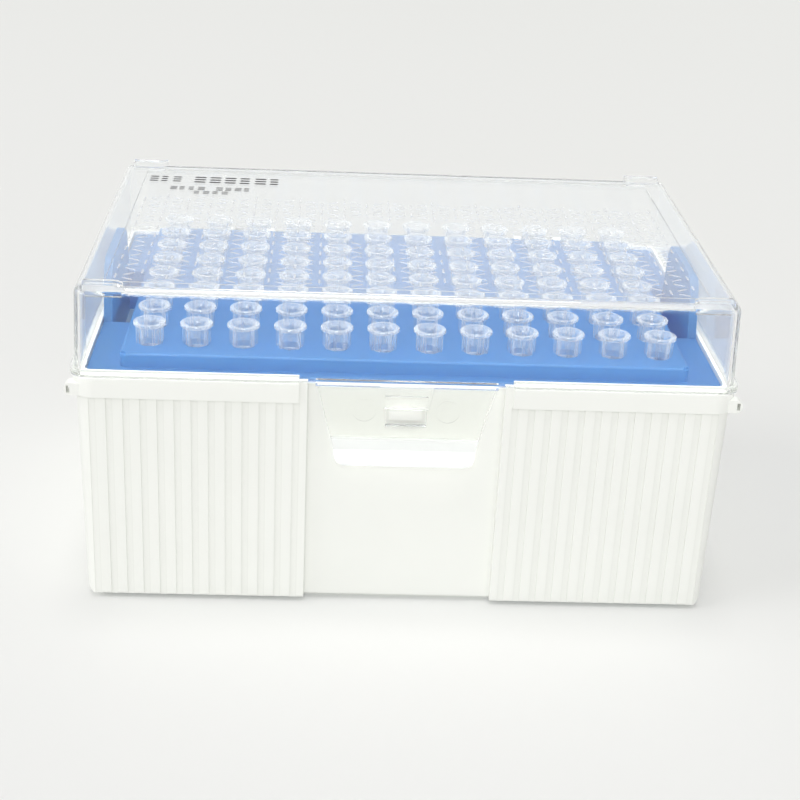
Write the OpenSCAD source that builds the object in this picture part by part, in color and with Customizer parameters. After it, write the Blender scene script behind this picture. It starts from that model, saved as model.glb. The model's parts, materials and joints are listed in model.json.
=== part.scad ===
// Box of extra-long 10 microlitre filter tips: white base, blue tip tray, clear hinged lid, 96 tips.
// Millimetres. Z is up, the latch faces -Y, and the origin is under the middle of the box.

/* [Tip grid] */
// Distance from tip to tip
pitch = 9; // [7.5:0.1:9.1]
// Tips in a column, front to back
rows = 8; // [4:1:8]

/* [Base] */
// Width of the base at its foot
base_w = 123.6; // [122:0.2:160]
// Depth of the base at its foot
base_d = 83.4; // [82:0.2:110]
// Height of the base up to the seat of the lid
base_h = 48.45; // [47:0.05:60]
// Draft of the outer walls in degrees
draft = 1.25; // [0.5:0.05:1.6]
// Thickness of the walls
wall = 1.6; // [1.2:0.1:2]
// Thickness of the floor
floor_t = 1.8; // [1.2:0.1:3]
// Height of the foot rim under the floor
foot_h = 1.2; // [1.2:0.1:2]
// Width of the foot rim
foot_w = 2.4; // [1.5:0.1:4]
// Setback of the foot rim from the walls
foot_in = 1.6; // [1:0.1:3]
// Height of the walls' lower edge above the table
foot_gap = 0.8; // [0.3:0.1:1]
// Radius of the upright corners at the foot
corner_r = 2.6; // [2:0.1:4]
// Radius of the lower edge at the two ends
end_edge_r = 2.2; // [1:0.1:3]
// Radius of the lower edge at the front and back
front_edge_r = 0.7; // [0.3:0.1:1.5]
// Height of the collar
collar_h = 4.2; // [3:0.1:5]
// How far the collar stands out of the wall
collar_out = 0.5; // [0.3:0.05:1]
// Height of the rim inside the lid
rim_h = 0.8; // [0.5:0.1:1.2]
// Thickness of the rim
rim_t = 0.7; // [0.5:0.05:0.9]
// Depth of the ring that carries the tray
ledge_h = 2.5; // [1.5:0.1:4]
// Width of the ring that carries the tray
ledge_w = 1.3; // [1:0.1:1.6]

/* [Ribs] */
// Distance from rib to rib
rib_pitch = 3.22; // [2.6:0.02:4]
// Width of a groove between two ribs
groove_w = 1.34; // [1:0.01:1.6]
// Depth of a groove
groove_t = 0.32; // [0.1:0.02:0.5]
// Plain strip beside the latch recess
strip_w = 1.45; // [0.8:0.05:2]
// Plain band at each upright corner
band_w = 1.4; // [1.4:0.1:4]

/* [Latch recess] */
// Width of the recess at its foot
recess_w = 37.5; // [34:0.5:44]
// How much wider the recess is at its top
recess_grow = 0.1; // [0:0.1:2]
// Depth of the recess
recess_t = 1.6; // [1:0.1:2]
// How much higher the wall ends in the recess
recess_up = 0.4; // [0.1:0.05:0.8]
// Drop of the recess's sill below the lid seat
sill_drop = 0.35; // [0.2:0.05:0.6]
// Height of the sill
sill_h = 0.55; // [0.3:0.05:1]
// How far the sill stands out of the recess
sill_out = 0.3; // [0.1:0.05:0.35]
// Width of the gap in collar and lip
gap_w = 40.8; // [40:0.2:48]
// Width of the catch nose
nose_w = 6.3; // [5:0.1:7]
// Height of the catch nose
nose_h = 2.9; // [2:0.1:3.3]
// Middle of the nose and window below the lid seat
nose_drop = 6.45; // [6.2:0.05:9]
// Length of the loop on each side of the collar
hook_l = 2.4; // [1.6:0.1:4]
// How far the loop stands out
hook_out = 1.4; // [1:0.1:1.6]
// Height of the loop
hook_h = 2.5; // [2:0.1:3]
// Thickness of the loop
hook_t = 0.5; // [0.4:0.05:0.6]

/* [Tray] */
// Thickness of the tray
tray_t = 1.2; // [1:0.1:1.4]
// Height of the platform above the flange
platform_h = 2.85; // [2:0.05:4]
// Platform beyond the outer tips, left and right
platform_mx = 5.15; // [4:0.05:6]
// Platform beyond the outer tips, front and back
platform_my = 6.2; // [4:0.05:7]
// Radius of the platform's corners
platform_r = 1.2; // [0.5:0.1:3]
// Radius of the platform's upper edge
platform_edge_r = 0.5; // [0.3:0.1:0.8]
// Gap all round the tray inside the rim
tray_gap = 0.25; // [0.15:0.05:0.5]
// Depth of the skirt under the flange
skirt_h = 5; // [3:0.5:8]
// Depth of the walls round a finger slot, under the flange
shaft_h = 8; // [6:0.5:12]
// Radius of a tip hole
hole_r = 2.3; // [2.25:0.01:2.5]
// Length of a lifting ear at its root
ear_l = 28.7; // [20:0.1:34]
// Height of a lifting ear above the flange
ear_h = 11.5; // [6:0.1:14]
// Thickness of a lifting ear
ear_t = 1.7; // [1.2:0.1:2.2]
// Radius of a lifting ear's upper corners
ear_r = 4.5; // [2:0.1:6]
// Depth of a lifting ear below the flange
ear_drop = 8; // [4:0.5:12]
// Width of the finger slot beside an ear
slot_w = 4.3; // [2.5:0.1:4.3]

/* [Lid] */
// Height of the lid
lid_h = 17.4; // [15:0.2:30]
// Thickness of the lid's walls
lid_t = 1.05; // [0.9:0.05:1.3]
// Thickness of the lid's top
top_t = 1.3; // [1:0.05:1.8]
// Draft of the lid's walls in degrees
lid_draft = 1.4; // [0.5:0.1:2]
// Radius of the lid's upright corners
lid_r = 2.6; // [2.4:0.1:4]
// Radius of the lid's upper edge
lid_edge_r = 1.6; // [0.8:0.1:1.8]
// Height of the lip at the mouth
lip_h = 1.25; // [0.8:0.05:2]
// How far the lip stands out
lip_out = 0.8; // [0.4:0.05:1]
// Width of the border of the top, left and right
border_x = 5.3; // [3:0.1:8]
// Width of the border of the top, front and back
border_y = 4.2; // [3:0.1:8]
// Depth of the panel inside the border
panel_t = 0.35; // [0.1:0.05:0.5]
// Height of the stacking pads
pad_h = 0.9; // [0.5:0.1:1.2]
// Length of a stacking pad
pad_l = 7.6; // [4:0.1:10]
// Width of a stacking pad
pad_w = 2.5; // [1.5:0.1:3]
// Depth of the pocket under a stacking pad
pocket_t = 0.5; // [0.2:0.05:0.7]

/* [Latch tab] */
// Width of the tab at the lid
tab_w = 34.6; // [28:0.1:36]
// Width of the tab at its lip
tab_end_w = 27.3; // [20:0.1:30]
// Length of the tab down to its lip
tab_l = 13.6; // [12:0.1:16]
// Thickness of the tab
tab_t = 1.1; // [0.8:0.05:1.3]
// Outward lean of the tab in degrees
tab_lean = 2; // [0:0.5:4]
// Height of the finger lip
tab_lip_h = 2.4; // [1.5:0.1:3.5]
// Height of the band across the tab's root
band_h = 1.2; // [0.8:0.1:1.6]
// Height of the band's top above the lid seat
band_up = 0.85; // [0.5:0.05:1.2]
// Width of the window
window_w = 7.8; // [7.2:0.1:10]
// Height of the window
window_h = 3.8; // [3.6:0.1:6]
// How far the window's middle lies below the nose's
window_low = 0.2; // [0:0.05:0.3]
// Diameter of the two round marks
mark_d = 4.5; // [2:0.1:6]
// Distance of each mark from the middle
mark_x = 7.95; // [6.5:0.05:9]
// Depth of the marks
mark_t = 0.1; // [0.05:0.01:0.2]

/* [Hinge] */
// Distance of each hinge from the middle
hinge_x = 34; // [20:1:40]
// Width of a knuckle on the lid
knuckle_w = 7; // [5:0.5:12]
// Radius of a knuckle
knuckle_r = 1.05; // [0.9:0.05:1.1]
// Thickness of an ear on the base
lug_t = 1.8; // [1.2:0.1:3]
// Radius of an ear on the base
lug_r = 1.2; // [1.1:0.05:1.5]
// Radius of the stub that turns in the ear
stub_r = 0.6; // [0.5:0.05:0.7]
// Running clearance of the stub
stub_gap = 0.06; // [0.03:0.01:0.1]
// Height of the hinge axis above the lid seat
axis_up = 0.35; // [0.2:0.05:0.8]
// Gap between the ear and the lid's wall
axis_gap = 0.2; // [0.2:0.05:0.5]

/* [Tips] */
// Length of a tip
tip_l = 46; // [38:0.5:48]
// Radius of a tip's rim
tip_rim_r = 3.14; // [2.9:0.01:3.4]
// Height of a tip's rim
tip_rim_h = 0.65; // [0.5:0.05:1]
// Radius of a tip's mouth
tip_mouth_r = 2.35; // [2.25:0.01:2.5]
// Depth of the steep part of the mouth
tip_mouth_h = 0.6; // [0.4:0.05:0.8]
// Height of a tip above the tray
tip_up = 4.35; // [3:0.05:6]
// Radius over the fins
tip_fin_r = 2.72; // [2.6:0.01:2.9]
// How much the fins narrow at their feet
tip_foot = 0.14; // [0.05:0.01:0.2]
// Thickness of a fin
tip_fin_t = 0.4; // [0.3:0.05:0.6]
// Fins on a tip
tip_fins = 8; // [6:1:8]
// Radius of the barrel under the fins
tip_barrel_r = 2.1; // [2:0.01:2.2]
// Thickness of a tip's wall
tip_t = 0.4; // [0.3:0.05:0.5]
// Length of the barrel
tip_barrel_l = 15; // [12:0.5:20]
// Radius of a tip's point
tip_point_r = 0.42; // [0.35:0.01:0.6]
// Length of a filter
filter_l = 4; // [2:0.5:6]
// Gap round a filter
filter_gap = 0.02; // [0.01:0.01:0.05]

/* [Hidden] */
$fn = 48;

// Overlap that makes cutters run past a face, and big enough to pass the whole box
past = 0.5;
far = 400;

// Base
slope = tan(draft);
foot_x = base_w / 2;
foot_y = base_d / 2;
wall_grow = slope * (base_h - foot_gap);
seat_x = foot_x + wall_grow;
seat_y = foot_y + wall_grow;
collar_x = seat_x + collar_out;
collar_y = seat_y + collar_out;
collar_z = base_h - collar_h;
collar_r = corner_r + wall_grow + collar_out;
floor_z = foot_h + floor_t;

// Lid, and the rim that it drops over
lid_slope = tan(lid_draft);
lid_x = seat_x;
lid_y = seat_y;
lid_z = base_h + lid_h;
rim_gap = 0.12;
rim_x = lid_x - lid_t - rim_gap;
rim_y = lid_y - lid_t - rim_gap;
rim_r = lid_r - lid_t;
lid_top_y = lid_y - lid_slope * lid_h;
lid_top_x = lid_x - lid_slope * lid_h;

// Tray
flange_x = rim_x - rim_t - tray_gap;
flange_y = rim_y - rim_t - tray_gap;
flange_r = rim_r - rim_t + 0.6;
flange_z = base_h + 0.1;
ledge_z = flange_z - tray_t;
ledge_x = flange_x - ledge_w;
ledge_y = flange_y - ledge_w;
cols = 12;
grid_x = (cols - 1) * pitch / 2;
grid_y = (rows - 1) * pitch / 2;
platform_x = grid_x + platform_mx;
platform_y = grid_y + platform_my;
deck_z = flange_z + platform_h;
skirt_gap = 0.4;
ear_x = flange_x - ear_t;
ear_cut = 0.8;
slot_x = max(platform_x + 0.1, ear_x - slot_w);

// Latch
recess_z = base_h - sill_drop;
tab_y = lid_y;
nose_z = base_h - nose_drop;
nose_gap = 0.15;
tab_top_z = base_h + band_up;
window_z = nose_z - window_low;
tab_lip_z = base_h - tab_l;
tab_lip_y = tab_y + tan(tab_lean) * (tab_top_z - tab_lip_z);
tab_corner_r = tab_lip_h;

// Hinge
lug_y = lid_y + axis_gap + lug_r;
axis_z = base_h + axis_up;
hinge_gap = 0.3;
reach_y = lug_y + lug_r;

// Tips
tip_z = deck_z + tip_up;
tip_bore_r = tip_barrel_r - tip_t;
filter_z = tip_z - 8;

module mirror_x() { children(); mirror([1, 0, 0]) children(); }
module mirror_y() { children(); mirror([0, 1, 0]) children(); }

// Upright block with rounded corners, from z0 to z1
module round_block(hx, hy, r, z0, z1) {
    for (sx = [-1, 1], sy = [-1, 1])
        translate([sx * (hx - r), sy * (hy - r), z0]) cylinder(r = r, h = z1 - z0);
    translate([r - hx, -hy, z0]) cube([2 * (hx - r), 2 * hy, z1 - z0]);
    translate([-hx, r - hy, z0]) cube([2 * hx, 2 * (hy - r), z1 - z0]);
}

// The same with drafted walls: each side moves out by grow between z0 and z1
module draft_block(hx, hy, r, z0, z1, grow) {
    for (sx = [-1, 1], sy = [-1, 1])
        translate([sx * (hx - r), sy * (hy - r), z0]) cylinder(r1 = r, r2 = r + grow, h = z1 - z0);
    translate([0, hy - r, 0]) rotate([90, 0, 0]) linear_extrude(2 * (hy - r))
        polygon([[-hx, z0], [hx, z0], [hx + grow, z1], [-hx - grow, z1]]);
    translate([r - hx, 0, 0]) rotate([90, 0, 90]) linear_extrude(2 * (hx - r))
        polygon([[-hy, z0], [hy, z0], [hy + grow, z1], [-hy - grow, z1]]);
}

// Elevation with rounded lower corners, as a mask over the base
module lower_edge(half, r) {
    for (s = [-1, 1]) translate([s * (half - r), r]) circle(r = r);
    translate([r - half, 0]) square([2 * (half - r), r]);
    translate([-far / 2, r]) square([far, far]);
}

// Half section of a lid that is drafted and rounded at the top, from the corner's axis outwards
module lid_section(r, z0, z1, edge_r) {
    x = r - lid_slope * (z1 - z0) - edge_r;
    arc = [for (k = [0 : 10]) [x + edge_r * cos(9 * k), z1 - edge_r + edge_r * sin(9 * k)]];
    polygon(concat([[0, z0], [r, z0]], arc, [[0, z1]]));
}

// Solid lid form: the section carried round a rectangle with rounded corners
module lid_form(hx, hy, r, z0, z1, edge_r) {
    x = hx - r;
    y = hy - r;
    for (a = [0, 90, 180, 270]) {
        px = (a == 0 || a == 270) ? x : -x;
        py = (a == 0 || a == 90) ? y : -y;
        run = (a == 0 || a == 180) ? 2 * y : 2 * x;
        translate([px, py, 0]) rotate([0, 0, a]) {
            rotate_extrude() lid_section(r, z0, z1, edge_r);
            rotate([90, 0, 0]) linear_extrude(run) lid_section(r, z0, z1, edge_r);
        }
    }
    translate([-x - 0.2, -y - 0.2, z0]) cube([2 * x + 0.4, 2 * y + 0.4, z1 - z0]);
}

// Grooves up one drafted wall whose foot is half away, at the given left edges
module grooves(edges, half) {
    for (e = edges)
        translate([e, -half, foot_gap]) rotate([draft, 0, 0])
            translate([0, -past, -past]) cube([groove_w, groove_t + past, collar_z + 2 * past]);
}

// Left edges of evenly spaced grooves that fill a span about the middle
function even_edges(span) =
    let (n = floor((span - groove_w) / rib_pitch))
    [for (i = [0 : n]) (i - n / 2) * rib_pitch - groove_w / 2];

// Left edges of the front grooves, right of the recess
function front_edges() =
    let (first = recess_w / 2 + strip_w, last = foot_x - band_w - groove_w)
    [for (i = [0 : floor((last - first) / rib_pitch)]) first + i * rib_pitch];

module base_walls() {
    difference() {
        intersection() {
            draft_block(foot_x, foot_y, corner_r, foot_gap, base_h, wall_grow);
            translate([0, far / 2, foot_gap]) rotate([90, 0, 0]) linear_extrude(far)
                lower_edge(foot_x, end_edge_r);
            translate([-far / 2, 0, foot_gap]) rotate([90, 0, 90]) linear_extrude(far)
                lower_edge(foot_y, front_edge_r);
        }
        mirror_x() grooves(front_edges(), foot_y);
        rotate([0, 0, 180]) grooves(even_edges(2 * (foot_x - band_w)), foot_y);
        for (a = [90, 270]) rotate([0, 0, a]) grooves(even_edges(2 * (foot_y - band_w)), foot_x);
    }
}

module base_cavity() {
    grow = slope * (ledge_z - ledge_h - floor_z);
    draft_block(foot_x - wall, foot_y - wall, corner_r - 1, floor_z, ledge_z - ledge_h, grow);
    round_block(ledge_x, ledge_y, corner_r - 1, ledge_z - ledge_h - past, base_h + rim_h + past);
    cut_y = ear_l / 2 + tray_t + ear_cut;
    cut_h = ledge_h + max(ear_drop, shaft_h);
    translate([-flange_x - tray_gap, -cut_y, ledge_z - cut_h])
        cube([2 * (flange_x + tray_gap), 2 * cut_y, cut_h + past]);
}

module latch_recess() {
    foot = recess_w / 2;
    top = foot + recess_grow / 2;
    translate([0, -foot_y, foot_gap]) rotate([draft, 0, 0]) translate([0, recess_t, 0]) rotate([90, 0, 0])
        linear_extrude(recess_t + 4)
            polygon([[-foot, -past], [foot, -past], [foot, 0], [top, base_h + 4],
                [-top, base_h + 4], [-foot, 0]]);
    translate([-gap_w / 2, -collar_y - past, collar_z - past])
        cube([gap_w, collar_y - seat_y + past + slope * (collar_h - 0.5), collar_h + 4]);
    translate([-foot, -collar_y, recess_z]) cube([recess_w, collar_y - ledge_y, far]);
    translate([-foot, -collar_y, 0])
        cube([recess_w, collar_y - foot_y + recess_t + foot_in, foot_gap + recess_up]);
    translate([-gap_w / 2, -collar_y, base_h]) cube([gap_w, collar_y - ledge_y, far]);
}

module catch_nose() {
    reach = tab_y - tab_t + tan(tab_lean) * (nose_drop - nose_h / 4) - nose_gap;
    translate([-nose_w / 2, 0, nose_z]) rotate([90, 0, 90]) linear_extrude(nose_w)
        polygon([[-foot_y + recess_t / 2, -nose_h / 2], [-reach, -nose_h / 2],
            [-reach, nose_h / 4], [-foot_y + recess_t / 2, nose_h / 2]]);
}

// Sill along the top of the recess, in front of the tray's edge
module sill() {
    back = rim_y - rim_t;
    front = seat_y - recess_t + sill_out;
    translate([-recess_w / 2 - past, -front, recess_z - sill_h])
        cube([recess_w + 2 * past, front - back, sill_h]);
}

// Small open loop at the front corner of the collar
module side_hook() {
    r = hook_h / 2;
    out = collar_x + hook_out;
    hole = r - hook_t;
    translate([0, hook_l - collar_y + 0.9, collar_z + r]) rotate([90, 0, 0]) linear_extrude(hook_l)
        difference() {
            union() {
                translate([out - r, 0]) circle(r = r);
                translate([collar_x - 2, -r]) square([out - r - collar_x + 2, hook_h]);
            }
            translate([out - hook_t - 0.65, -hole]) square([0.65, 2 * hole]);
        }
}

module hinge_lug() {
    rotate([90, 0, 90]) linear_extrude(lug_t) {
        translate([lug_y, axis_z]) circle(r = lug_r);
        polygon([[seat_y - past, collar_z], [collar_y, collar_z], [lug_y + lug_r * 0.9, axis_z - lug_r * 0.45],
            [lug_y - lug_r, axis_z], [lug_y - lug_r, base_h], [seat_y - past, base_h - past]]);
    }
}

module base() color("white") {
    side = knuckle_w / 2 + hinge_gap;
    difference() {
        union() {
            base_walls();
            round_block(collar_x, collar_y, collar_r, collar_z, base_h);
            round_block(rim_x, rim_y, rim_r, base_h - past, base_h + rim_h);
            mirror_x() translate([hinge_x, 0, 0]) mirror_x() translate([side, 0, 0]) hinge_lug();
            mirror_x() side_hook();
            round_block(foot_x - foot_in, foot_y - recess_t - foot_in, 1.4, 0, foot_h + 0.1);
        }
        difference() {
            base_cavity();
            translate([-recess_w / 2 - wall, -foot_y, foot_gap]) rotate([draft, 0, 0])
                translate([0, 0, -past]) cube([recess_w + 2 * wall, recess_t + wall, ledge_z + past]);
        }
        round_block(rim_x - rim_t, rim_y - rim_t, flange_r, ledge_z, base_h + rim_h + past);
        latch_recess();
        round_block(foot_x - foot_in - foot_w, foot_y - recess_t - foot_in - foot_w, 1, -past, foot_h);
        mirror_x() translate([hinge_x - side, seat_y, collar_z - past])
            cube([2 * side, far, collar_h + 2 * past]);
        translate([-far / 2, lug_y, axis_z]) rotate([0, 90, 0])
            cylinder(r = stub_r + stub_gap, h = far);
    }
    catch_nose();
    sill();
}

// Outline of a lifting ear, in depth and height from the flange's underside
module ear_outline() {
    taper = 0.24;
    top = ear_h - ear_r;
    half = ear_l / 2 - taper * top;
    for (s = [-1, 1]) translate([s * (half - ear_r), top]) circle(r = ear_r);
    translate([ear_r - half, 0]) square([2 * (half - ear_r), ear_h]);
    polygon([[-ear_l / 2, 0], [ear_l / 2, 0], [half, top], [-half, top]]);
    translate([-ear_l / 2, -ear_drop]) square([ear_l, ear_drop + 0.1]);
}

// Platform with a softened upper edge
module platform_form(hx, hy, r, z1) {
    round_block(hx, hy, r, ledge_z, z1 - platform_edge_r);
    round_block(hx - platform_edge_r, hy - platform_edge_r, r, z1 - platform_edge_r - past, z1);
    for (s = [-1, 1]) {
        translate([r - hx, s * (hy - platform_edge_r), z1 - platform_edge_r]) rotate([0, 90, 0])
            cylinder(r = platform_edge_r, h = 2 * (hx - r));
        translate([s * (hx - platform_edge_r), hy - r, z1 - platform_edge_r]) rotate([90, 0, 0])
            cylinder(r = platform_edge_r, h = 2 * (hy - r));
    }
}

// Walls round a finger slot, as one block
module slot_block() {
    x0 = slot_x - tray_t;
    half = ear_l / 2 + tray_t;
    translate([x0, -half, flange_z - shaft_h])
        cube([ear_x + ear_t / 2 - x0, 2 * half, shaft_h - 0.1]);
}

module tray() color("cornflowerblue") {
    skirt_x = ledge_x - skirt_gap;
    skirt_y = ledge_y - skirt_gap;
    difference() {
        union() {
            round_block(flange_x, flange_y, flange_r, ledge_z, flange_z);
            platform_form(platform_x, platform_y, platform_r, deck_z);
            difference() {
                round_block(skirt_x, skirt_y, 1.4, ledge_z - skirt_h, flange_z - 0.1);
                round_block(skirt_x - tray_t, skirt_y - tray_t, 0.9, ledge_z - skirt_h - past, flange_z);
            }
            mirror_x() slot_block();
        }
        round_block(platform_x - tray_t, platform_y - tray_t, 0.6, ledge_z - past, deck_z - tray_t);
        for (i = [0 : cols - 1], j = [0 : rows - 1])
            translate([i * pitch - grid_x, j * pitch - grid_y, ledge_z - past])
                cylinder(r = hole_r, h = far);
        mirror_x() translate([slot_x, -ear_l / 2, 0]) cube([ear_x - slot_x, ear_l, far]);
    }
    mirror_x() translate([ear_x, 0, flange_z]) rotate([90, 0, 90]) linear_extrude(ear_t) ear_outline();
}

// Stacking pad in the front right corner of the top, rounded at its inner corner
module stack_pad(z0, z1, spare) {
    x1 = lid_top_x - 1.8 + spare;
    x0 = x1 - pad_l - 2 * spare;
    y0 = -lid_top_y - spare;
    w = pad_w + 2 * spare;
    translate([0, 0, z0]) linear_extrude(z1 - z0) {
        translate([x0 + w, y0]) square([x1 - x0 - w, w]);
        intersection() {
            translate([x0 + w, y0]) circle(r = w);
            translate([x0, y0]) square([w + 0.1, w]);
        }
    }
}

module tab_outline() {
    x = tab_end_w / 2;
    z = tab_lip_z;
    polygon([[-tab_w / 2, tab_top_z], [tab_w / 2, tab_top_z], [x, z], [-x, z]]);
    for (s = [-1, 1]) translate([s * (x - tab_corner_r), z]) circle(r = tab_corner_r);
    translate([tab_corner_r - x, z - tab_corner_r]) square([2 * (x - tab_corner_r), tab_corner_r]);
}

// Section of the tab: a leaning plate that flares into the finger lip
module tab_section() {
    z = tab_lip_z;
    low = z - tab_lip_h;
    polygon([[-tab_y, tab_top_z], [-tab_lip_y, z], [-reach_y, low + 0.7], [-reach_y, low],
        [0.9 - reach_y, low], [tab_t - tab_lip_y, z - 0.75], [tab_t - tab_y, tab_top_z]]);
}

module latch_tab() {
    y_win = tab_y + tan(tab_lean) * nose_drop;
    difference() {
        union() {
            intersection() {
                translate([0, far / 2, 0]) rotate([90, 0, 0]) linear_extrude(far) tab_outline();
                translate([-tab_w, 0, 0]) rotate([90, 0, 90]) linear_extrude(2 * tab_w) tab_section();
            }
            translate([-tab_w / 2, -lid_y - lip_out, tab_top_z - band_h])
                cube([tab_w, lip_out + tab_t, band_h]);
            ramp(y_win);
        }
        translate([-window_w / 2, -far / 2, window_z - window_h / 2]) cube([window_w, far / 2, window_h]);
        translate([0, -tab_y, tab_top_z]) rotate([-tab_lean, 0, 0]) mirror_x()
            translate([mark_x, mark_t, nose_z + 1.05 - tab_top_z]) rotate([90, 0, 0])
                cylinder(d = mark_d, h = mark_t + 0.5);
    }
}

// Thick trapezoid above the window, with a shelf along its lower edge
module ramp(y_win) {
    top_w = window_w + 2.5;
    low_w = window_w + 1;
    low = window_z + window_h / 2;
    tall = tab_top_z - band_h - low;
    translate([0, tab_t / 2 - tab_y, low]) rotate([90, 0, 0]) {
        linear_extrude(y_win - tab_y + tab_t / 2 + 0.3)
            polygon([[-low_w / 2, 0], [low_w / 2, 0], [top_w / 2, tall], [-top_w / 2, tall]]);
        translate([-window_w / 2 - 0.2, 0, 0])
            cube([window_w + 0.4, tall * 0.6, y_win - tab_y + tab_t / 2 + 0.75]);
    }
}

module knuckle() {
    translate([-knuckle_w / 2, 0, 0]) rotate([90, 0, 90]) linear_extrude(knuckle_w) {
        translate([lug_y, axis_z]) circle(r = knuckle_r);
        polygon([[lid_y - lid_t / 2, base_h + 0.1], [lug_y - knuckle_r, base_h + 0.1],
            [lug_y - knuckle_r, axis_z], [lug_y, axis_z + knuckle_r], [lid_y - lid_t / 2, axis_z + 2.2]]);
    }
    half = knuckle_w / 2 + hinge_gap + lug_t;
    translate([-half, lug_y, axis_z]) rotate([0, 90, 0]) cylinder(r = stub_r, h = 2 * half);
}

module lid_lip() {
    side = knuckle_w / 2 + hinge_gap + lug_t + hinge_gap;
    difference() {
        round_block(lid_x + lip_out, lid_y + lip_out, lid_r + lip_out, base_h, base_h + lip_h);
        translate([-gap_w / 2, -far / 2, base_h - past]) cube([gap_w, far / 2, lip_h + 2 * past]);
        mirror_x() translate([hinge_x - side, 0, base_h - past]) cube([2 * side, far, lip_h + 2 * past]);
    }
}

module lid() color("lightcyan", 0.4) {
    inset = lid_t - lid_slope;
    difference() {
        union() {
            lid_form(lid_x, lid_y, lid_r, base_h, lid_z, lid_edge_r);
            lid_lip();
            mirror_x() mirror_y() stack_pad(lid_z - top_t / 2, lid_z + pad_h, 0);
        }
        lid_form(lid_x - inset, lid_y - inset, lid_r - inset, base_h - 1, lid_z - top_t,
            lid_edge_r - lid_t);
        mirror_x() mirror_y() stack_pad(lid_z - top_t - past, lid_z - top_t + pocket_t, -0.4);
        round_block(lid_top_x - border_x, lid_top_y - border_y, 2, lid_z - panel_t, lid_z + 0.01);
    }
    latch_tab();
    mirror_x() translate([hinge_x, 0, 0]) knuckle();
}

// Half section of a tip, from its rim down
module tip_section() {
    low_r = tip_bore_r * 0.5;
    mid = tip_l * 0.56;
    polygon([
        [tip_rim_r - 0.12, 0], [tip_rim_r, -0.12], [tip_rim_r, 0.12 - tip_rim_h],
        [tip_rim_r - 0.15, -tip_rim_h], [tip_barrel_r + 0.35, -tip_rim_h - 0.08],
        [tip_barrel_r, -tip_rim_h - 0.45], [tip_barrel_r - 0.02, -tip_up - 0.4],
        [tip_barrel_r - 0.1, -tip_barrel_l],
        [low_r + tip_t, -mid], [tip_point_r, -tip_l], [tip_point_r - 0.18, -tip_l],
        [low_r, -mid], [tip_bore_r - 0.1, -tip_barrel_l], [tip_bore_r, -tip_up],
        [tip_bore_r, -tip_mouth_h - 1.3], [tip_mouth_r - 0.2, -tip_mouth_h], [tip_mouth_r, -0.1],
        [tip_mouth_r + 0.08, 0]]);
}

module tip() {
    rotate_extrude() tip_section();
    root = tip_barrel_r - 0.1;
    for (k = [0.5 : tip_fins]) rotate([0, 0, k * 360 / tip_fins])
        translate([0, tip_fin_t / 2, 0]) rotate([90, 0, 0]) linear_extrude(tip_fin_t)
            polygon([[root, -tip_up], [tip_fin_r - tip_foot, -tip_up], [tip_fin_r, 0.6 - tip_up],
                [tip_fin_r, 0.1 - tip_rim_h], [root, 0.1 - tip_rim_h]]);
}

// One column of tips, and their filters; each tip has turned a little by chance
module tips_column(i) color("whitesmoke", 0.6) {
    for (j = [0 : rows - 1]) translate([i * pitch - grid_x, j * pitch - grid_y, tip_z])
        rotate([0, 0, (i * 37 + j * 23) % 45]) tip();
}

module filters_column(i) color("ivory") {
    r = tip_bore_r - 0.1 - filter_gap;
    for (j = [0 : rows - 1])
        translate([i * pitch - grid_x, j * pitch - grid_y, filter_z - filter_l])
            cylinder(r1 = r - 0.03, r2 = r, h = filter_l);
}

base();
tray();
lid();
tips_column(0);  // tips_column_01
tips_column(1);  // tips_column_02
tips_column(2);  // tips_column_03
tips_column(3);  // tips_column_04
tips_column(4);  // tips_column_05
tips_column(5);  // tips_column_06
tips_column(6);  // tips_column_07
tips_column(7);  // tips_column_08
tips_column(8);  // tips_column_09
tips_column(9);  // tips_column_10
tips_column(10);  // tips_column_11
tips_column(11);  // tips_column_12
filters_column(0);  // filters_column_01
filters_column(1);  // filters_column_02
filters_column(2);  // filters_column_03
filters_column(3);  // filters_column_04
filters_column(4);  // filters_column_05
filters_column(5);  // filters_column_06
filters_column(6);  // filters_column_07
filters_column(7);  // filters_column_08
filters_column(8);  // filters_column_09
filters_column(9);  // filters_column_10
filters_column(10);  // filters_column_11
filters_column(11);  // filters_column_12
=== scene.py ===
import bpy, bmesh, json, math, random
from mathutils import Matrix, Vector

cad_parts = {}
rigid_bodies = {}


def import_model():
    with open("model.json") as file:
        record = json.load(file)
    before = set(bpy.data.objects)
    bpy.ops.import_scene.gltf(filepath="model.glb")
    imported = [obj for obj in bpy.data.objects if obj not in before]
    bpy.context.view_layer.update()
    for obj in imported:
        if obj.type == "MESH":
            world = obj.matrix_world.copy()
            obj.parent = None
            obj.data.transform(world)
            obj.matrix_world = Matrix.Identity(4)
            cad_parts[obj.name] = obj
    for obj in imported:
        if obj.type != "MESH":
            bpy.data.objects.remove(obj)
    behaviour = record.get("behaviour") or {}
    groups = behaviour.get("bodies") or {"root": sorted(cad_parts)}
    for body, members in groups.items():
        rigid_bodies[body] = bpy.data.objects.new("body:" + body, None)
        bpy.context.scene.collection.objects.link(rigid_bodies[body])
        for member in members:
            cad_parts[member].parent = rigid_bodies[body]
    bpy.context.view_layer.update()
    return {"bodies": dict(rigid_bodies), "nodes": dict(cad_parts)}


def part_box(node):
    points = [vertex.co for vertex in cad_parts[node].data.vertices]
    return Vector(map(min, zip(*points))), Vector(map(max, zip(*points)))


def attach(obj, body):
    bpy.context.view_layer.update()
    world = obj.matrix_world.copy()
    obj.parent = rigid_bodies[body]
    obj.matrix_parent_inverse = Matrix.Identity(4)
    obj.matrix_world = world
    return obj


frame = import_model()
nodes = frame["nodes"]
lid_body = [body for body in frame["bodies"] if body != "box"][0]
mm = 0.001

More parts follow.
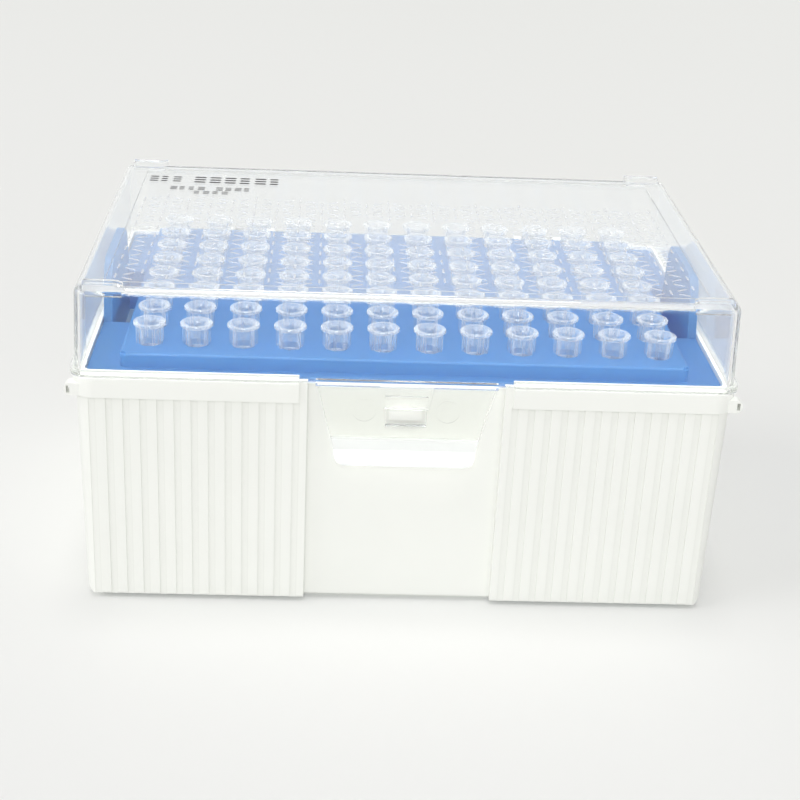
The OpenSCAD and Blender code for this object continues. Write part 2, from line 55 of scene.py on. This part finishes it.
# ---------- sizes, in millimetres ----------
# The lid, as the CAD has it
pad_h = 0.9             # the corner loops stand this far above the lid's border
panel_drop = 0.35       # the lid's top panel lies this far below its border
lid_rise = 17.4         # from the lid's seat to its top
lip_h = 1.25            # height of the lip along the lid's foot
lid_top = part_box("lid")[1][2] / mm - pad_h
lip_top = lid_top - lid_rise + lip_h
panel_z = lid_top - panel_drop
tint_reach = 15.0       # the lid's tints change over this height, down from the top of that lip

# The moulded pattern on the panel
lattice_a = 5.54        # side of its triangles
lattice_x = (-55.5, 55.2)
lattice_y = (-37.0, 19.5)
lattice_y0 = -1.0 - 6 * lattice_a   # a row of dashes in the lattice's first column
dash_l, dash_w, dash_h = 2.45, 0.42, 0.13
dash_root = 0.05        # depth to which a dash is let into the panel
badge = (-11.0, 12.0, -9.5, 6.0)    # plain field left free of the pattern: x and y ranges

# The print on the panel: for each stand-in word its x range, y range and number of marks
print_words = (
    (-56.3, -48.6, 29.7, 33.7, 3),
    (-46.4, -26.1, 29.4, 34.0, 6),
    (-51.1, -43.0, 23.7, 26.0, 4),
    (-41.0, -32.8, 23.7, 26.0, 4),
    (-45.7, -37.5, 20.9, 22.9, 4),
)
stroke_levels = (0.1, 0.5, 0.9)     # heights of a mark's strokes, as shares of the word's height
stroke_w = 0.2                      # width of a stroke, as a share of the word's height
gap_before, gap_after = 0.06, 0.10  # bare ends of a mark's place, as shares of its width
more_bare = (0.0, 0.1, 0.2)         # drawn for each mark and added to the gap after it
ink_h = 0.02                        # height of the ink, and the depth to which it is let in

# The room, in metres
floor_size = 8
floor_middle = (0, 1.0, 0)
lamp_target = Vector((0, 0, 0.03))
lamp_distance = 2.0     # only for order's sake: a sun gives the same light at any distance
camera_place = (-0.01575, -0.32517, 0.16951)


# ---------- nodes of the materials ----------
def new_mat(name):
    m = bpy.data.materials.new(name)
    m.use_nodes = True
    nt = m.node_tree
    nt.nodes.clear()
    out = nt.nodes.new("ShaderNodeOutputMaterial")
    return m, nt, out


def coords(nt, scale=1 / mm):
    """Object coordinates, in millimetres unless a scale is given."""
    c = nt.nodes.new("ShaderNodeTexCoord")
    v = nt.nodes.new("ShaderNodeVectorMath")
    v.operation = "SCALE"
    v.inputs["Scale"].default_value = scale
    nt.links.new(c.outputs["Object"], v.inputs[0])
    return v.outputs[0]


def axis(nt, vec, name):
    """One of a vector's three numbers."""
    n = nt.nodes.new("ShaderNodeSeparateXYZ")
    nt.links.new(vec, n.inputs[0])
    return n.outputs[name]


def noise(nt, vec, scale, detail=3.0, rough=0.5):
    n = nt.nodes.new("ShaderNodeTexNoise")
    n.inputs["Scale"].default_value = scale
    n.inputs["Detail"].default_value = detail
    n.inputs["Roughness"].default_value = rough
    nt.links.new(vec, n.inputs["Vector"])
    return n.outputs["Fac"]


def ramp(nt, fac, stops):
    r = nt.nodes.new("ShaderNodeValToRGB")
    e = r.color_ramp.elements
    while len(e) < len(stops):
        e.new(0.5)
    for el, (place, colour) in zip(e, stops):
        el.position = place
        el.color = (*colour, 1.0)
    nt.links.new(fac, r.inputs["Fac"])
    return r.outputs["Color"]


def remap(nt, fac, lo, hi, a=0.3, b=0.7):
    """lo where the factor is a, hi where it is b, and in between in between."""
    r = nt.nodes.new("ShaderNodeMapRange")
    r.inputs["From Min"].default_value = a
    r.inputs["From Max"].default_value = b
    r.inputs["To Min"].default_value = lo
    r.inputs["To Max"].default_value = hi
    nt.links.new(fac, r.inputs["Value"])
    return r.outputs["Result"]


def maths(nt, operation, *values):
    n = nt.nodes.new("ShaderNodeMath")
    n.operation = operation
    for socket, val in zip(n.inputs, values):
        if isinstance(val, (int, float)):
            socket.default_value = val
        else:
            nt.links.new(val, socket)
    return n.outputs[0]


def bump(nt, height, strength, distance):
    b = nt.nodes.new("ShaderNodeBump")
    b.inputs["Strength"].default_value = strength
    b.inputs["Distance"].default_value = distance
    nt.links.new(height, b.inputs["Height"])
    return b.outputs["Normal"]


def paint_crevice_shade(nt, colour, darkest_shade):
    """Painted shade: the colour, a little darker in grooves and corners, where the ambient occlusion
    finds surfaces close by.
    """
    ao = nt.nodes.new("ShaderNodeAmbientOcclusion")
    ao.samples = 6
    ao.inputs["Distance"].default_value = 1.2 * mm
    shade = remap(nt, ao.outputs["AO"], darkest_shade, 1.0, 0.55, 0.95)
    grey = nt.nodes.new("ShaderNodeCombineColor")
    for socket in grey.inputs[:3]:
        nt.links.new(shade, socket)
    both = nt.nodes.new("ShaderNodeMix")
    both.data_type = "RGBA"
    both.blend_type = "MULTIPLY"
    both.inputs["Factor"].default_value = 1.0
    first, second = [socket for socket in both.inputs if socket.type == "RGBA"]
    nt.links.new(colour, first)
    nt.links.new(grey.outputs[0], second)
    return [socket for socket in both.outputs if socket.type == "RGBA"][0]


def facing(nt, power):
    """0 where a surface faces the viewer, 1 where it is seen edge on."""
    n = nt.nodes.new("ShaderNodeLayerWeight")
    n.inputs["Blend"].default_value = 0.5
    return maths(nt, "POWER", n.outputs["Facing"], power)


def mix(nt, fac, first, second):
    n = nt.nodes.new("ShaderNodeMixShader")
    nt.links.new(fac, n.inputs["Fac"])
    nt.links.new(first.outputs[0], n.inputs[1])
    nt.links.new(second.outputs[0], n.inputs[2])
    return n


def see_through(nt, tint):
    """Fully transparent, in a colour or in one that a node gives."""
    t = nt.nodes.new("ShaderNodeBsdfTransparent")
    if isinstance(tint, tuple):
        t.inputs["Color"].default_value = (*tint, 1)
    else:
        nt.links.new(tint, t.inputs["Color"])
    return t


def lamps_through(nt, shader, tint):
    """The same surface, but open to the light of the lamps, so that they reach what is inside."""
    lp = nt.nodes.new("ShaderNodeLightPath")
    return mix(nt, lp.outputs["Is Shadow Ray"], shader, see_through(nt, tint))


def milk(nt, v, colour, rough):
    """The part of a milky plastic that scatters light."""
    p = nt.nodes.new("ShaderNodeBsdfPrincipled")
    fine = noise(nt, v, 0.8, 3.0)
    darker = tuple(c * 0.98 for c in colour)
    nt.links.new(ramp(nt, fine, [(0.3, darker), (0.7, colour)]), p.inputs["Base Color"])
    nt.links.new(remap(nt, fine, rough, rough * 1.3), p.inputs["Roughness"])
    p.inputs["Specular IOR Level"].default_value = 0.5
    return p


def polish(nt, v, shader, rough, rough2):
    """Gives a glossy shader the slightly wavy polish of a mould."""
    wavy = noise(nt, v, 0.12, 2.0)
    nt.links.new(remap(nt, wavy, rough, rough2), shader.inputs["Roughness"])
    nt.links.new(bump(nt, wavy, 0.02, 0.2 * mm), shader.inputs["Normal"])
    return shader


# ---------- materials ----------
def plastic(name, col, col2, rough, rough2, grain, spec, crevice_shade=None, passes=None, glow=None):
    """Moulded plastic: a faint flow mottle in the colour, and a fine satin grain.

    Thin plastic also passes some of the lamps' light, and glows with light from behind it."""
    m, nt, out = new_mat(name)
    skin = nt.nodes.new("ShaderNodeBsdfPrincipled")
    v = coords(nt)
    tone = ramp(nt, noise(nt, v, 0.06, 2.0), [(0.3, col), (0.7, col2)])
    # Painted shade in grooves and corners, when a darkest share for it is given.
    if crevice_shade:
        tone = paint_crevice_shade(nt, tone, crevice_shade)
    nt.links.new(tone, skin.inputs["Base Color"])
    fine = noise(nt, v, 3.0, 4.0, 0.6)
    nt.links.new(remap(nt, fine, rough, rough2), skin.inputs["Roughness"])
    nt.links.new(bump(nt, fine, grain, 0.05 * mm), skin.inputs["Normal"])
    skin.inputs["Specular IOR Level"].default_value = spec
    if glow:
        back = nt.nodes.new("ShaderNodeBsdfTranslucent")
        back.inputs["Color"].default_value = (*glow, 1)
        both = nt.nodes.new("ShaderNodeAddShader")
        nt.links.new(skin.outputs[0], both.inputs[0])
        nt.links.new(back.outputs[0], both.inputs[1])
        skin = both
    if passes:
        skin = lamps_through(nt, skin, passes)
    nt.links.new(skin.outputs[0], out.inputs["Surface"])
    return m


def clear_lid(name):
    """Clear plastic, a little duller in the latch tab, with a faint haze.

    The haze is stronger on the top, on the lips of tab and foot, and where a wall is seen edge on."""
    m, nt, out = new_mat(name)
    v = coords(nt)
    glass = polish(nt, v, nt.nodes.new("ShaderNodeBsdfPrincipled"), 0.0, 0.03)
    glass.inputs["IOR"].default_value = 1.45
    glass.inputs["Transmission Weight"].default_value = 1.0
    z = axis(nt, v, "Z")

    # The places on the tab and foot are shares of the reach, counted up from its lower end
    low = remap(nt, z, 0.0, 1.0, lip_top - tint_reach, lip_top)
    tab_lip, tab_from, tab_to, foot_from = 0.15, 0.18, 0.86, 0.89
    foot_lip, foot_mid, foot_end = 0.88, 0.92, 1.0

    clear, dull = (0.985, 0.99, 0.985), (0.875, 0.88, 0.87)
    tints = [(tab_lip, clear), (tab_from, dull), (tab_to, dull), (foot_from, clear)]
    nt.links.new(ramp(nt, low, tints), glass.inputs["Base Color"])

    hazes = ((tab_lip, 0.5), (tab_from, 0.03), (foot_lip, 0.03), (foot_mid, 0.08), (foot_end, 0.0))
    lips = ramp(nt, low, [(place, (h, h, h)) for place, h in hazes])
    top = remap(nt, z, 0.01, 0.04, lid_top - 2.2, lid_top - 1.2)
    haze = maths(nt, "ADD", top, lips)
    share = maths(nt, "MULTIPLY_ADD", facing(nt, 3.0), 0.40, haze)
    body = mix(nt, share, glass, milk(nt, v, (0.95, 0.965, 0.97), 0.3))

    passes = ramp(nt, low, [(tab_to, (0.80, 0.80, 0.78)), (foot_from, (0.96, 0.965, 0.97))])
    nt.links.new(lamps_through(nt, body, passes).outputs[0], out.inputs["Surface"])
    return m


def milky(name, col, body, edge, power, rough, shine=0.04, mouth_highlight=0.0):
    """Thin milky plastic: its walls let most light through, and whiten where they are seen edge on.

    Of its light, body is scattered everywhere, edge more where it is seen edge on, and a further share
    more on slopes like that of a tip's mouth: a painted highlight, whitening the slopes that light from
    above catches. A gloss coat rises from shine, face on, to 1, edge on."""
    m, nt, out = new_mat(name)
    v = coords(nt)
    # Painted highlight: slopes that face up like a tip's mouth scatter a larger share, as if caught by
    # the light from above.
    mouth_slope, near, away = 0.68, 0.15, 0.25      # upward part of a normal, and how far from it
    geo = nt.nodes.new("ShaderNodeNewGeometry")
    up = axis(nt, geo.outputs["True Normal"], "Z")
    off = maths(nt, "ABSOLUTE", maths(nt, "SUBTRACT", up, mouth_slope))
    share_with_highlight = remap(nt, off, body + mouth_highlight, body, near, away)
    share = maths(nt, "MULTIPLY_ADD", facing(nt, power), edge, share_with_highlight)
    wall = mix(nt, share, see_through(nt, (0.99, 0.99, 0.99)), milk(nt, v, col, 0.4))
    gloss = polish(nt, v, nt.nodes.new("ShaderNodeBsdfGlossy"), rough, rough * 1.6)
    coat = maths(nt, "MULTIPLY_ADD", facing(nt, 5.0), 1.0 - shine, shine)
    shell = lamps_through(nt, mix(nt, coat, wall, gloss), (0.93, 0.935, 0.94))
    nt.links.new(shell.outputs[0], out.inputs["Surface"])
    return m


# The white moulding carries painted shade in its rib grooves and corners.
M_base = plastic("white_moulding", (0.895, 0.905, 0.865), (0.91, 0.92, 0.88),
                 rough=0.38, rough2=0.46, grain=0.12, spec=0.4,
                 crevice_shade=0.93, passes=(0.45, 0.46, 0.45))
M_tray = plastic("blue_moulding", (0.046, 0.137, 0.275), (0.050, 0.143, 0.29),
                 rough=0.38, rough2=0.46, grain=0.10, spec=0.25,
                 passes=(0.52, 0.70, 0.95), glow=(0.065, 0.24, 0.38))
M_filter = plastic("filter_felt", (0.86, 0.86, 0.84), (0.90, 0.90, 0.88),
                   rough=0.8, rough2=0.95, grain=0.5, spec=0.2)
M_print = plastic("grey_print", (0.06, 0.06, 0.062), (0.09, 0.09, 0.092),
                  rough=0.5, rough2=0.6, grain=0.1, spec=0.3)
M_lid = clear_lid("clear_moulding")
M_pattern = milky("frosted_pattern", (0.95, 0.96, 0.97),
                  body=0.22, edge=0.15, power=2.0, rough=0.25)
# The tips carry a painted highlight on their mouth slopes.
M_tip = milky("tip_plastic", (0.91, 0.95, 0.985),
              body=0.05, edge=0.9, power=3.0, rough=0.06, shine=0.06, mouth_highlight=0.13)
looks = {"base": M_base, "tray": M_tray, "lid": M_lid, "tips": M_tip, "filters": M_filter}


def dress(o, mat):
    o.data.materials.clear()
    o.data.materials.append(mat)


for name, o in nodes.items():
    dress(o, looks[name.split("_")[0]])


# ---------- pieces on the lid ----------
def piece(name, bm, mat, body):
    me = bpy.data.meshes.new(name)
    bm.to_mesh(me)
    bm.free()
    o = bpy.data.objects.new(name, me)
    bpy.context.collection.objects.link(o)
    dress(o, mat)
    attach(o, body)
    return o


def bar(bm, x, y, length, width, height, root, degrees=0.0):
    """A low ridge on the panel, with sloped sides and pointed ends, let into it by the root."""
    turn = math.radians(degrees)
    c, s = math.cos(turn), math.sin(turn)

    def ring(l, w, up):
        outline = ((-l, 0), (-l + w, -w), (l - w, -w), (l, 0), (l - w, w), (-l + w, w))
        z = (panel_z + up) * mm
        return [bm.verts.new(((x + a * c - b * s) * mm, (y + a * s + b * c) * mm, z)) for a, b in outline]

    low = ring(length / 2, width / 2, -root)
    mid = ring(length / 2, width / 2, height * 0.4)
    top = ring(length / 2 - width / 4, width / 4, height)
    n = len(low)
    for under, over in ((low, mid), (mid, top)):
        for i in range(n):
            k = (i + 1) % n
            bm.faces.new((under[i], under[k], over[k], over[i]))
    bm.faces.new(top)
    bm.faces.new(tuple(reversed(low)))


def in_pattern(x, y):
    in_badge = badge[0] < x < badge[1] and badge[2] < y < badge[3]
    return lattice_y[0] < y < lattice_y[1] and not in_badge


def pattern():
    """Triangular lattice of short raised dashes, one at the middle of each side."""
    bm = bmesh.new()
    step = lattice_a * math.sqrt(3) / 2
    count = round((lattice_x[1] - lattice_x[0]) / step) + 1
    rows = int((lattice_y[1] - lattice_y[0]) / lattice_a) + 2
    for i in range(count):
        x = lattice_x[0] + i * step
        shift = 0.0 if i % 2 == 0 else -lattice_a / 2
        for j in range(-1, rows):
            y = lattice_y0 + j * lattice_a + shift
            dashes = [(x, y, 90)]
            if i < count - 1:
                dashes.append((x + step / 2, y + lattice_a * 0.25, 210))
                dashes.append((x + step / 2, y - lattice_a * 0.25, -30))
            for dx, dy, degrees in dashes:
                if in_pattern(dx, dy):
                    bar(bm, dx, dy, dash_l, dash_w, dash_h, dash_root, degrees)
    return piece("lid_pattern", bm, M_pattern, lid_body)


def word(bm, x0, x1, y0, y1, marks, seed):
    """A stand-in for a printed word: marks of level strokes, which spell nothing."""
    r = random.Random(seed)
    w = (x1 - x0) / marks
    h = y1 - y0
    for k in range(marks):
        left = x0 + k * w + w * gap_before
        right = x0 + (k + 1) * w - w * gap_after
        right -= r.choice(more_bare) * w
        for level in stroke_levels:
            bar(bm, (left + right) / 2, y0 + h * level, right - left, h * stroke_w, ink_h, ink_h)


def print_blocks():
    bm = bmesh.new()
    for seed, sizes in enumerate(print_words, start=1):
        word(bm, *sizes, seed)
    return piece("lid_print", bm, M_print, lid_body)


pattern()
print_blocks()


# ---------- floor and backdrop ----------
def floor_paper():
    """Matt paper with a painted falloff of light: it darkens a little toward the back, slightly mottled.
    """
    m, nt, out = new_mat("floor_paper")
    p = nt.nodes.new("ShaderNodeBsdfPrincipled")
    v = coords(nt, 1.0)
    # Painted light falloff: the floor's colour darkens toward the back, with a noise mottle in it.
    depth = maths(nt, "ADD", axis(nt, v, "Y"), noise(nt, v, 1.2, 2.0))
    painted_falloff = remap(nt, depth, 0.0, 1.0, -0.8, 0.6)
    tone = ramp(nt, painted_falloff, [(0.0, (0.828, 0.828, 0.813)), (1.0, (0.785, 0.79, 0.765))])
    nt.links.new(tone, p.inputs["Base Color"])
    p.inputs["Roughness"].default_value = 0.9
    p.inputs["Specular IOR Level"].default_value = 0.1
    nt.links.new(p.outputs[0], out.inputs["Surface"])
    return m


bpy.ops.mesh.primitive_plane_add(size=floor_size, location=floor_middle)
floor = bpy.context.object
floor.name = "floor"
dress(floor, floor_paper())


def studio():
    """An even white room: one strength lights the object, another is what is seen of the room."""
    w = bpy.data.worlds.new("studio")
    bpy.context.scene.world = w
    w.use_nodes = True
    nt = w.node_tree
    lit = nt.nodes["Background"]
    lit.inputs["Color"].default_value = (1.0, 1.0, 1.0, 1)
    lit.inputs["Strength"].default_value = 0.43
    seen = nt.nodes.new("ShaderNodeBackground")
    seen.inputs["Color"].default_value = (0.99, 1.0, 0.985, 1)
    seen.inputs["Strength"].default_value = 0.88
    lp = nt.nodes.new("ShaderNodeLightPath")
    is_seen = lp.outputs["Is Camera Ray"]
    for kind in ("Is Glossy Ray", "Is Transmission Ray"):
        is_seen = maths(nt, "MAXIMUM", is_seen, lp.outputs[kind])
    nt.links.new(mix(nt, is_seen, lit, seen).outputs[0], nt.nodes["World Output"].inputs["Surface"])


studio()


# ---------- lamps ----------
def sun(name, azimuth, elevation, strength, spread):
    """A soft distant lamp, seen from the object at an azimuth, right of the front, and an elevation."""
    a, e = math.radians(azimuth), math.radians(elevation)
    way = Vector((math.sin(a) * math.cos(e), -math.cos(a) * math.cos(e), math.sin(e)))
    d = bpy.data.lights.new(name, "SUN")
    d.energy = strength
    d.angle = math.radians(spread)
    o = bpy.data.objects.new(name, d)
    bpy.context.collection.objects.link(o)
    o.location = lamp_target + way * lamp_distance
    o.rotation_euler = (-way).to_track_quat("-Z", "Y").to_euler()


sun("overhead", azimuth=180, elevation=82, strength=0.50, spread=18)
sun("key", azimuth=-6, elevation=73, strength=0.50, spread=16)
sun("front", azimuth=-4, elevation=33, strength=0.95, spread=8)
sun("left", azimuth=-78, elevation=32, strength=0.75, spread=40)


# ---------- camera, fitted to the grid of tip rims ----------
def camera_turn(pitch, yaw, roll):
    """The camera's axes: level and looking along +Y, then turned by yaw, pitch and roll."""
    a, b, c = (math.radians(t) for t in (pitch, yaw, roll))
    level = Matrix(((1, 0, 0), (0, 0, 1), (0, -1, 0)))
    pitched = Matrix(((1, 0, 0), (0, math.cos(a), -math.sin(a)), (0, math.sin(a), math.cos(a))))
    yawed = Matrix(((math.cos(b), 0, math.sin(b)), (0, 1, 0), (-math.sin(b), 0, math.cos(b))))
    rolled = Matrix(((math.cos(c), -math.sin(c), 0), (math.sin(c), math.cos(c), 0), (0, 0, 1)))
    return (rolled @ pitched @ yawed @ level).transposed()


cam = bpy.data.cameras.new("camera")
cam.lens = 73.18
cam.sensor_width = 36.0
co = bpy.data.objects.new("camera", cam)
bpy.context.collection.objects.link(co)
co.matrix_world = Matrix.Translation(camera_place) @ camera_turn(23.713, 2.942, -2.722).to_4x4()
bpy.context.scene.camera = co

# Light has many clear walls to pass here: the lid's and, row behind row, the tips'.
paths = bpy.context.scene.cycles
paths.max_bounces = 24
paths.glossy_bounces = 16
paths.transmission_bounces = 24
paths.transparent_max_bounces = 48

bpy.context.scene.view_settings.view_transform = "Standard"
